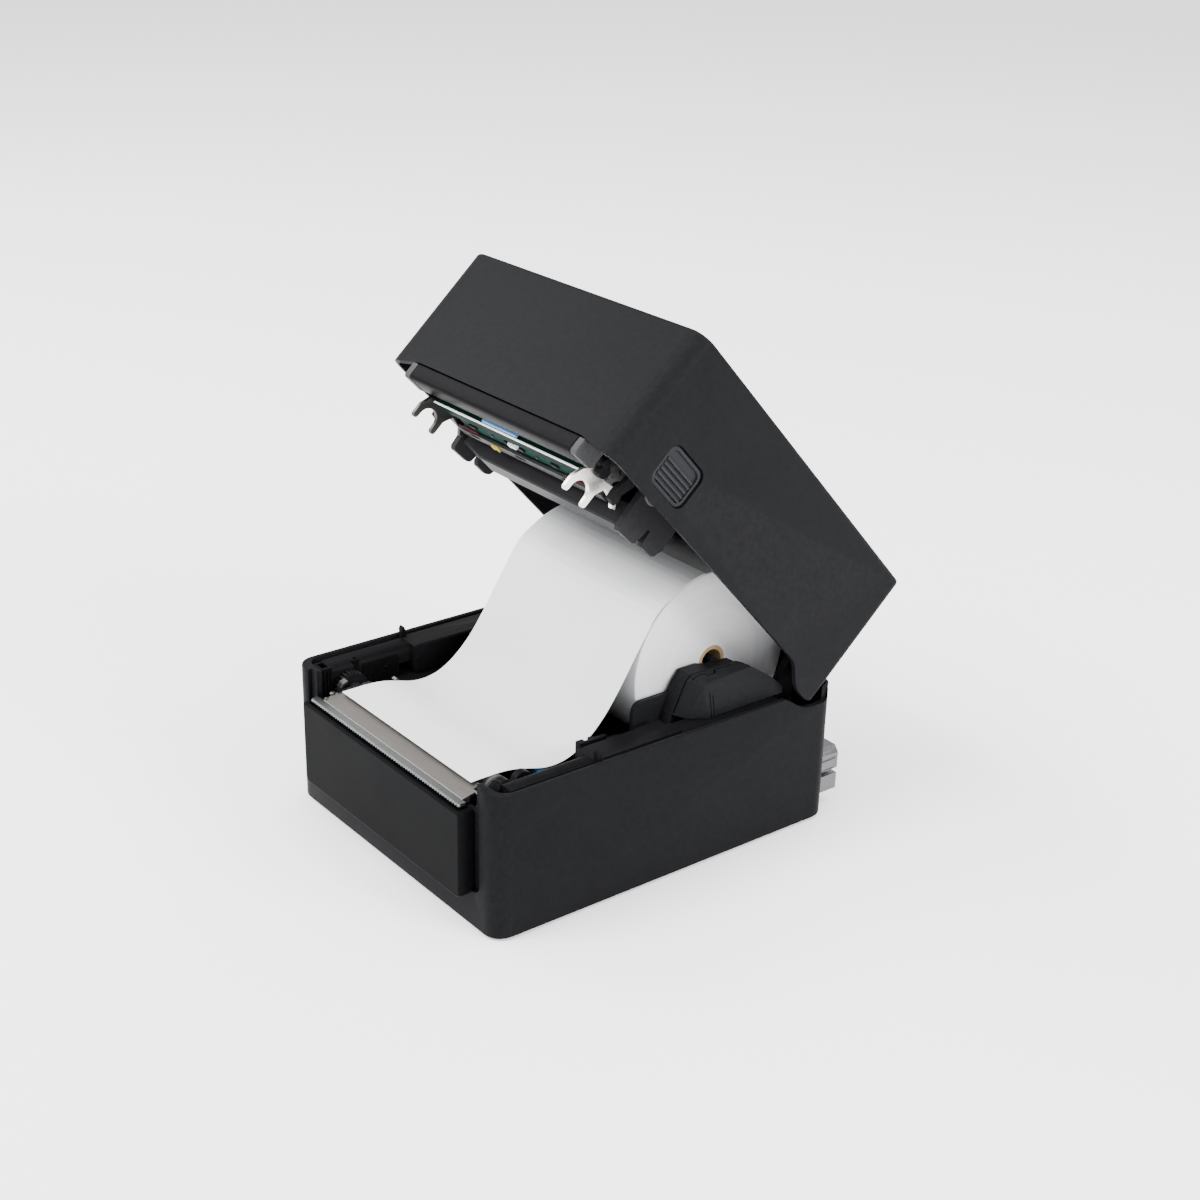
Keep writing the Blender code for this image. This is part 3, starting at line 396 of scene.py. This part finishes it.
# nodes whose look differs from their slot's; some are lighter or darker copies of one material,
# for painted light or painted shade
OWN = {
    "tear_bar": SPECKLED, "platen_gear": DARK_ACETAL, "idler_gear": DARK_ACETAL,
    "motor_pinion": DARK_ACETAL, "bearing_l": DARK_ACETAL, "fork_l": NICKEL_PAINTED_SHADE,
    "fork_r": NICKEL_PAINTED_HIGHLIGHT, "open_button_l": KEY_PLASTIC, "open_button_r": KEY_PLASTIC,
    "lower_guide": FRAME_PAINTED_LIGHT, "head_frame": FRAME_PAINTED_LIGHT, "print_chassis": DARK_ZINC,
    "interface_panel": DARK_ZINC, "port_upper": CHROME_PAINTED_REFLECTION, "port_lower": CHROME_PAINTED_REFLECTION,
    "front_cover": COVER_PAINTED_SHADE, "lid_cover": LID_PAINTED_LIGHT,
}


def look_of(node):
    """The node's own material, or its slot's."""
    return OWN.get(node) or LOOKS[SLOT_OF[node]]


# ---------------------------------------------------------------- geometry helpers
FLAT_DEG = 0.8                # faces closer than this to one plane are merged
EDGE_DEG = 28.0               # edges sharper than this are rounded


def put(axis, p, t):
    """Point p of the plane across an axis, at t along that axis."""
    return {"X": (t, p[0], p[1]), "Y": (p[0], t, p[1]), "Z": (p[0], p[1], t)}[axis]


def arc(cx, cy, r, a0, a1, n):
    out = []
    for i in range(n + 1):
        a = math.radians(a0 + (a1 - a0) * i / n)
        out.append((cx + r * math.cos(a), cy + r * math.sin(a)))
    return out


def rrect(x0, x1, y0, y1, r):
    """Rectangle with round corners."""
    corners = ((x1 - r, y1 - r), (x0 + r, y1 - r), (x0 + r, y0 + r), (x1 - r, y0 + r))
    pts = []
    for k, (cx, cy) in enumerate(corners):
        pts += arc(cx, cy, r, 90 * k, 90 * k + 90, 4)
    return pts


def prism(axis, pts, lo, hi):
    """An outline across an axis, drawn out along it from lo to hi."""
    bm = bmesh.new()
    face = bm.faces.new([bm.verts.new(put(axis, p, lo)) for p in pts])
    grown = bmesh.ops.extrude_face_region(bm, geom=[face])["geom"]
    moved = [g for g in grown if isinstance(g, bmesh.types.BMVert)]
    bmesh.ops.translate(bm, verts=moved, vec=put(axis, (0, 0), hi - lo))
    return bm


def block(x0, x1, y0, y1, z0, z1, r=0.0):
    """Upright block, with its upright corners rounded to r."""
    if r:
        return prism("Z", rrect(x0, x1, y0, y1, r), z0, z1)
    return prism("Z", [(x0, y0), (x1, y0), (x1, y1), (x0, y1)], z0, z1)


def lathe(axis, c, profile, n=32):
    """Body of revolution; the profile is a list of (place along the axis, radius).

    A profile that ends where it starts makes a ring, and any other one has flat ends.
    """
    bm = bmesh.new()
    rows = []
    for t, r in profile:
        ring = []
        for p in arc(c[0], c[1], r, 0, 360, n)[:-1]:
            ring.append(bm.verts.new(put(axis, p, t)))
        rows.append(ring)
    closed = profile[0] == profile[-1]
    for k, (a, b) in enumerate(zip(rows, rows[1:])):
        if closed and k == len(rows) - 2:
            b = rows[0]
        for i in range(n):
            j = (i + 1) % n
            bm.faces.new((a[i], a[j], b[j], b[i]))
    if closed:
        bmesh.ops.delete(bm, geom=rows[-1], context="VERTS")
    else:
        bm.faces.new(list(reversed(rows[0])))
        bm.faces.new(rows[-1])
    return bm


def solid(bm, cuts=(), adds=()):
    """Joins and cuts bodies with exact booleans and gives back one mesh."""
    bodies = []
    for part in [bm, *adds, *cuts]:
        bmesh.ops.recalc_face_normals(part, faces=part.faces)
        me = bpy.data.meshes.new("temp")
        part.to_mesh(me)
        part.free()
        obj = bpy.data.objects.new("temp", me)
        bpy.context.scene.collection.objects.link(obj)
        bodies.append(obj)
    for k, other in enumerate(bodies[1:]):
        mod = bodies[0].modifiers.new("step", "BOOLEAN")
        mod.operation = "UNION" if k < len(adds) else "DIFFERENCE"
        mod.solver = "EXACT"
        mod.object = other
    bpy.context.view_layer.update()
    done = bodies[0].evaluated_get(bpy.context.evaluated_depsgraph_get())
    out = bmesh.new()
    out.from_mesh(done.to_mesh())
    done.to_mesh_clear()
    for obj in bodies:
        me = obj.data
        bpy.data.objects.remove(obj, do_unlink=True)
        bpy.data.meshes.remove(me)
    return out


def node_mesh(node, in_lid):
    """Mesh of a CAD node in millimetres of the closed printer, flats merged."""
    bm = bmesh.new()
    bm.from_mesh(bpy.data.objects[node].data)
    bmesh.ops.remove_doubles(bm, verts=bm.verts, dist=1e-6)
    bmesh.ops.dissolve_limit(bm, angle_limit=math.radians(FLAT_DEG), verts=bm.verts,
                             edges=bm.edges)
    c, s = math.cos(OPEN), math.sin(OPEN)
    for v in bm.verts:
        v.co = v.co * PER_M + Vector((0, CENTRE_Y, 0))
        if in_lid:
            dy, dz = v.co.y - HINGE_Y, v.co.z - HINGE_Z
            v.co.y = HINGE_Y + dy * c - dz * s
            v.co.z = HINGE_Z + dy * s + dz * c
    return bm


def piece(name, bm, body, look, width, angle=EDGE_DEG, nodes=()):
    """Turns a mesh drawn in closed-frame millimetres into a visible piece of a body.

    Its edges sharper than the angle are rounded to the width, and it replaces the nodes.
    """
    bmesh.ops.recalc_face_normals(bm, faces=bm.faces)
    place = lid_point if body in LID_BODIES else base_point
    for v in bm.verts:
        v.co = place(*v.co)
    me = bpy.data.meshes.new(name)
    bm.to_mesh(me)
    bm.free()
    obj = bpy.data.objects.new(name, me)
    bpy.context.scene.collection.objects.link(obj)
    me.shade_smooth()
    me.set_sharp_from_angle(angle=math.radians(angle))
    if width > 0:
        mod = obj.modifiers.new("edge", "BEVEL")
        mod.width = width * MM
        mod.segments = 2
        mod.limit_method = "ANGLE"
        mod.angle_limit = math.radians(angle)
        mod.harden_normals = True
        mod.use_clamp_overlap = True
    me.materials.append(look)
    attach(obj, body)
    if nodes:
        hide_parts(*nodes)


def refined(node, width, cuts=()):
    """Replaces a CAD node by one with merged flats, rounded edges and any cuts."""
    bm = node_mesh(node, BODY_OF[node] in LID_BODIES)
    if cuts:
        bm = solid(bm, cuts)
    piece(node + "_fine", bm, BODY_OF[node], look_of(node), width, nodes=[node])


# width in millimetres of each CAD node's rounded edges
EDGES = {
    "front_cover": 0.35, "media_tray": 0.5,
    "base_case": 0.3, "lid_cover": 0.35, "head_frame": 0.4, "front_bar": 0.5,
    "lower_guide": 0.8, "print_chassis": 0.2, "head_bracket": 0.25, "fork_l": 0.35,
    "fork_r": 0.35, "port_lower": 0.4, "power_inlet": 0.4,
    "interface_panel": 0.3, "hinge_ear_l": 0.5, "hinge_ear_r": 0.5, "lid_arm_l": 0.4,
    "lid_arm_r": 0.4, "feed_motor": 0.4, "exit_plate": 0.2, "latch_hook_l": 0.3,
    "latch_hook_r": 0.3, "fork_cap_l": 0.6, "fork_cap_r": 0.6, "open_button_l": 0.25,
    "open_button_r": 0.25, "roll_core": 0.3, "bearing_l": 0.3, "bearing_r": 0.3,
    "media_sensor": 0.4, "head_clip": 0.4, "service_hatch": 0.3, "power_rocker": 0.5,
}


# ---------------------------------------------------------------- detailed pieces
SIDES = (("l", -1), ("r", 1))


def paper_roll():
    """Wound roll: rounded rims, end faces stepped where the winding shifted."""
    # radius and depth below the end face, from the core out to the rim
    face = [(8.3, 0.0), (14.0, 0.12), (14.3, 0.0), (22.5, 0.1), (22.8, -0.05), (31.0, 0.1),
            (31.3, 0.0), (39.5, 0.12), (39.8, 0.0), (47.9, 0.06), (48.3, 0.35), (ROLL_R, 0.8)]
    right = [(ROLL_HALF - d, r) for r, d in face]
    left = [(-t, r) for t, r in reversed(right)]
    bm = lathe("X", (ROLL_Y, ROLL_Z), right + left + [right[0]], 128)
    piece("paper_roll_wound", bm, "roll", ROLL_END, 0, angle=50, nodes=["paper_roll"])


def guide_cheeks():
    """Roll cheeks with the fine groove between plate and cup and two slits."""
    for tag, s in SIDES:
        # the groove's course over the cup's top
        zig = [(24.4, 70.0), (31.4, 69.2), (33.2, 71.4), (37.4, 71.4), (39.6, 68.8),
               (50.6, 68.6), (50.6, 69.3), (40.0, 69.5), (37.8, 72.2), (32.8, 72.2),
               (30.9, 70.0), (24.4, 70.8)]
        pts = [(s * x, y) for y, x in zig]
        cuts = [prism("Z", pts, 88.0, 99.0)]
        lo, hi = sorted((s * 70.0, s * 85.0))
        # the front slit reaches higher than the one behind it
        for y, top in ((29.0, 87.8), (30.8, 86.0)):
            cuts.append(block(lo, hi, y, y + 0.5, 70.0, top))
        # slot down the front facet, in line with the groove
        front = [(s * 67.4, 10.0), (s * 68.2, 10.0), (s * 68.2, 26.0), (s * 67.4, 26.0)]
        cuts.append(prism("Z", front, 76.4, 99.0))
        refined("guide_" + tag, 0.5, cuts=cuts)


def ledge_shelves():
    """Side shelves with the open gutter between them and the wall of the base."""
    for tag, s in SIDES:
        lo, hi = sorted((s * 83.6, s * 90.0))
        cuts = [block(lo, hi, -95.0, -45.2, 69.0, 90.0), block(lo, hi, -40.4, 72.0, 70.0, 90.0)]
        refined("ledge_" + tag, 0.6, cuts=cuts)


def upper_port():
    """Square data port; a dark seam runs along its flank."""
    seam = block(79.8, 82.0, 107.4, 117.6, 25.4, 26.4)
    lip = block(79.9, 82.0, 107.4, 116.6, 20.0, 20.7)
    refined("port_upper", 0.4, cuts=[seam, lip])


BOARD_FACE = 72.4             # lower face of the head's board
CHIPS, CHIP_STEP = 7, 13.1
CHIP_SIZES = ((2.4, 1.3, 0.8), (1.6, 0.9, 0.6), (4.6, 2.6, 1.1))


def thermal_unit():
    """Print line on its substrate, and the board behind it with its chips and plug."""
    strip = prism("X", rrect(-88.1, -87.3, 70.4, 71.4, 0.3), -HEAD_HALF, HEAD_HALF)
    piece("head_strip", strip, "head", WHITE_GLAZE, 0.1, nodes=["thermal_head"])
    under = [(-87.1, 70.7), (-79.4, 70.9), (-78.6, 71.6), (-78.6, 73.9), (-87.1, 73.9)]
    piece("head_substrate", prism("X", under, -57.0, 57.0), "head", SUBSTRATE, 0.15)
    holes = [lathe("Z", (x, -70.6), [(70.0, 1.3), (76.0, 1.3)], 20) for x in (-47.0, 47.0)]
    plate = block(-52.0, 52.0, -78.2, -67.6, BOARD_FACE, 74.0, 0.8)
    piece("head_board_fine", solid(plate, holes), "head", LOOKS["board"], 0.15,
          nodes=["head_board"])
    for k in range(CHIPS):
        x = -40.0 + CHIP_STEP * k + random.uniform(-2.5, 2.5)
        w, d, h = random.choice(CHIP_SIZES)
        y = -71.4 - random.uniform(0.0, 2.6)
        leads = block(x - w / 2 - 0.25, x + w / 2 + 0.25, y - d / 3, y + d / 3,
                      BOARD_FACE - h * 0.55, BOARD_FACE + 0.1)
        chip = solid(block(x - w / 2, x + w / 2, y - d / 2, y + d / 2, BOARD_FACE - h,
                           BOARD_FACE, 0.15), adds=[leads])
        look = LOOKS["trim"] if w > 2 else GREY_STEEL
        piece("head_chip_%d" % k, chip, "head", look, 0.08)
    plug = solid(block(-7.0, -1.4, -77.4, -74.6, 70.2, BOARD_FACE, 0.3),
                 [block(-6.4, -2.0, -77.0, -75.0, 69.0, 71.2)])
    piece("head_connector", plug, "head", WHITE_GLAZE, 0.12)


def head_bracket_trim():
    """Flange of the bracket behind the board, with its tag and two flat leads."""
    flange = [(-66.9, 70.4), (-61.6, 70.4), (-60.6, 71.4), (-60.6, 76.0), (-61.8, 76.0),
              (-61.8, 72.0), (-66.9, 72.0)]
    slots = [block(x, x + 9, -66.0, -63.6, 69.0, 73.0, 0.8) for x in (-50, -12, 26)]
    piece("head_flange", solid(prism("X", flange, -58.4, 56.6), slots), "head",
          GREY_STEEL, 0.3)
    piece("head_tag", solid(block(-31.0, -25.4, -65.6, -62.2, 69.4, 70.4, 0.5),
                            [block(-29.0, -27.6, -66.0, -61.0, 69.0, 69.8)]),
          "head", YELLOW, 0.1)
    for k, (x0, x1) in enumerate(((-57.0, -41.0), (30.0, 46.0))):
        leads = [block(x0, x1, -68.9 + 0.9 * i, -68.4 + 0.9 * i, 71.2, 71.7) for i in range(3)]
        piece("head_lead_%d" % k, solid(leads[0], adds=leads[1:]), "head",
              RED_LEAD, 0.08)


def right_end_of_head():
    """Collar beside the right fork and the disc on the latch's shaft."""
    ring = lathe("X", (-84.6, 79.8), [(62.6, 1.2), (63.0, 3.0), (65.2, 3.0), (65.6, 2.2),
                                      (67.4, 2.2), (67.6, 1.2)], 28)
    piece("head_collar_r", ring, "head", LOOKS["trim"], 0.1)
    disc = lathe("X", (-57.0, 84.6), [(73.4, 1.6), (73.6, 5.4), (74.6, 5.6), (75.0, 4.8),
                                      (75.0, 1.6)], 36)
    piece("latch_disc_r", disc, "lid", GREY_STEEL, 0.15)


def bar_ends():
    """Blocks that close the ends of the front bar; the left one has a grip."""
    pts = [(-105.0, 72.4), (-104.0, 71.2), (-92.4, 71.6), (-90.9, 73.4), (-90.9, 82.0),
           (-92.4, 84.0), (-101.9, 84.0), (-101.9, 79.4), (-105.0, 79.4)]
    grips = [block(-70.0, -67.9, y, y + 1.0, 73.5, 82.0) for y in (-99.0, -96.4, -93.8)]
    for (tag, s), grip in zip(SIDES, (grips, [])):
        lo, hi = sorted((s * 64.6, s * 68.6))
        # the lighter plastic here is painted light on faces that get little light
        piece("bar_end_" + tag, solid(prism("X", pts, lo, hi), grip), "lid",
              SATIN_PAINTED_LIGHT, 0.5)


def screw(name, x, y, z, r):
    """Upright pan-head screw of radius r with a cross recess, its head widest at z."""
    head = lathe("Z", (x, y), [(z - 1.2, r * 0.55), (z - 0.2, r * 0.55), (z, r),
                               (z + 0.5 * r, r * 0.94), (z + 0.75 * r, r * 0.6)], 24)
    slots = [block(x - a * r, x + a * r, y - b * r, y + b * r, z + 0.3 * r, z + r)
             for a, b in ((0.62, 0.14), (0.14, 0.62))]
    piece(name, solid(head, slots), "base", DARK_ZINC, 0.05)


def front_left_bay():
    """Slotted block, fin, peg and small metal parts about the gears, clear of their teeth."""
    # the darkened plastic is painted shade in the bay
    look = BAY_PAINTED_SHADE
    body = block(-80.6, -71.4, -99.2, -93.4, 58.0, 76.4, 0.6)
    ribs = [block(-71.8, -70.6, y, y + 0.8, 62.0, 75.6) for y in (-98.4, -96.6, -94.8)]
    slot = [block(-79.0, -73.4, -98.0, -94.6, 70.0, 80.0, 0.5)]
    piece("bay_block_l", solid(body, slot, ribs), "base", look, 0.3)
    fin = [(-74.4, 50.0), (-74.4, 71.6), (-73.6, 72.6), (-54.0, 72.6), (-52.4, 71.0),
           (-52.4, 62.0), (-56.0, 60.4), (-56.0, 50.0)]
    hole = [lathe("X", (-60.4, 67.0), [(-75.0, 1.7), (-65.0, 1.7)], 20)]
    piece("bay_fin_l", solid(prism("X", fin, -73.3, -72.8), hole), "base", look, 0.3)
    peg = lathe("Z", (-75.2, -78.0), [(70.0, 2.3), (75.4, 2.3), (75.8, 1.8), (76.0, 1.1),
                                      (74.4, 1.0)], 24)
    piece("bay_peg_l", peg, "base", look, 0.15)
    for k, x in enumerate((-78.4, -83.2)):
        rib = prism("X", [(-45.6, 62.0), (-45.6, 75.0), (-45.0, 75.8), (-44.5, 75.8),
                          (-44.5, 62.0)], x, x + 1.0)
        piece("ledge_rib_%d" % k, rib, "base", look, 0.15)
    tab = [(-82.2, 66.4), (-79.6, 66.4), (-79.0, 68.4), (-79.4, 71.6), (-81.0, 71.6)]
    piece("ledge_tab", prism("Y", tab, -45.4, -44.7), "base", DARK_ZINC, 0.1)
    catch = [(-62.6, 61.0), (-62.6, 64.6), (-61.2, 65.4), (-60.0, 64.2), (-60.0, 61.0)]
    piece("deck_tab_l", prism("X", catch, -64.6, -61.2), "base", DARK_ZINC, 0.15)
    clip = prism("X", [(-93.0, 62.0), (-93.0, 67.4), (-91.4, 69.4), (-88.6, 70.4),
                       (-88.4, 69.2), (-90.6, 68.2), (-91.8, 66.8), (-91.8, 62.0)],
                 -68.3, -64.4)
    piece("bay_clip_l", clip, "base", DARK_ZINC, 0.15)
    screw("exit_screw_a", -62.6, -98.8, 66.6, 1.5)
    screw("exit_screw_b", -61.4, -103.0, 65.5, 1.1)


def front_right_bay():
    """Dome, shaft cap, arch and steps beside the platen's free end."""
    look = LOOKS["inner"]
    dome = lathe("Z", (73.0, -93.8), [(58.0, 4.0), (72.6, 4.0), (74.0, 3.6), (76.2, 1.9),
                                      (76.4, 0.9)], 32)
    piece("bay_dome_r", dome, "base", look, 0.2)
    cap = lathe("X", (-87.6, 69.4), [(66.6, 2.0), (67.0, 4.6), (71.0, 4.6), (71.6, 3.8),
                                     (71.6, 2.0)], 32)
    piece("bay_cap_r", cap, "base", look, 0.2)
    arch = arc(-73.4, 66.4, 5.4, 0, 180, 14) + arc(-73.4, 66.4, 3.4, 180, 0, 10)
    piece("bay_arch_r", prism("X", arch, 62.6, 66.6), "base", look, 0.3)
    tab = solid(prism("Z", rrect(62.8, 68.8, -98.6, -94.4, 1.6), 66.8, 67.8),
                [lathe("Z", (66.0, -96.5), [(60.0, 1.1), (70.0, 1.1)], 20)])
    piece("bay_tab_r", tab, "base", LOOKS["steel"], 0.15)
    step = solid(block(60.4, 64.2, -38.8, -22.4, 60.2, 74.6, 0.4),
                 [block(59.0, 62.4, -34.6, -31.6, 68.0, 80.0),
                  block(59.0, 62.0, -29.0, -20.0, 71.8, 80.0)])
    piece("ledge_step_r", step, "base", look, 0.3)
    slot = solid(block(66.2, 68.7, -24.8, 8.0, 62.0, 74.8, 0.5),
                 [block(65.4, 67.4, -18.0, -8.0, 73.4, 80.0)])
    piece("shelf_r", slot, "base", look, 0.3)


# ---------------------------------------------------------------- the model
make_camera()
paper_roll()
guide_cheeks()
ledge_shelves()
upper_port()
thermal_unit()
head_bracket_trim()
right_end_of_head()
bar_ends()
front_left_bay()
front_right_bay()
DONE = {"paper_roll", "guide_l", "guide_r", "thermal_head", "head_board", "ledge_l",
        "ledge_r", "port_upper"}
for node_name in frame["nodes"]:
    if node_name in DONE:
        continue
    if node_name in EDGES:
        refined(node_name, EDGES[node_name])
    else:
        kept = bpy.data.objects[node_name].data.materials
        kept.clear()
        kept.append(look_of(node_name))


# ---------------------------------------------------------------- studio
FLOOR_SIZE, FLOOR_GLOW, WORLD_GLOW = 6.0, 0.35, 1.35
# name, place and target in metres, size in metres, power in watts
LIGHTS = (
    ("key", (-0.4, -1.7, 2.1), (0, 0, 0.1), 1.2, 105),
    ("panel", (-1.5, -0.8, 1.4), (0, 0, 0.2), 0.9, 34),
    ("side", (1.9, 0.7, 1.0), (0, 0, 0.12), 0.9, 60),
    ("top", (0.1, 0.5, 1.9), (0, 0, 0.12), 1.8, 36),
)


def area_light(name, place, target, size, power):
    data = bpy.data.lights.new(name, "AREA")
    data.shape = "RECTANGLE"
    data.size = data.size_y = size
    data.energy = power
    obj = bpy.data.objects.new(name, data)
    bpy.context.scene.collection.objects.link(obj)
    obj.location = place
    way = Vector(target) - Vector(place)
    obj.rotation_euler = way.to_track_quat("-Z", "Y").to_euler()


def studio():
    """Glowing white floor, white surroundings and the lights."""
    bm = bmesh.new()
    bmesh.ops.create_grid(bm, x_segments=1, y_segments=1, size=FLOOR_SIZE)
    me = bpy.data.meshes.new("floor")
    bm.to_mesh(me)
    bm.free()
    floor = bpy.data.objects.new("floor", me)
    bpy.context.scene.collection.objects.link(floor)
    n = Nodes("floor_sweep")
    n.color((0.96, 0.96, 0.96))
    n.bsdf.inputs["Emission Color"].default_value = (1, 1, 1, 1)
    n.set(Emission_Strength=FLOOR_GLOW, Roughness=0.9, Specular_IOR_Level=0.1)
    me.materials.append(n.mat)
    world = bpy.data.worlds.new("studio")
    bpy.context.scene.world = world
    world.use_nodes = True
    sky = world.node_tree.nodes["Background"].inputs
    sky["Color"].default_value = (1, 1, 1, 1)
    sky["Strength"].default_value = WORLD_GLOW
    for light in LIGHTS:
        area_light(*light)


studio()
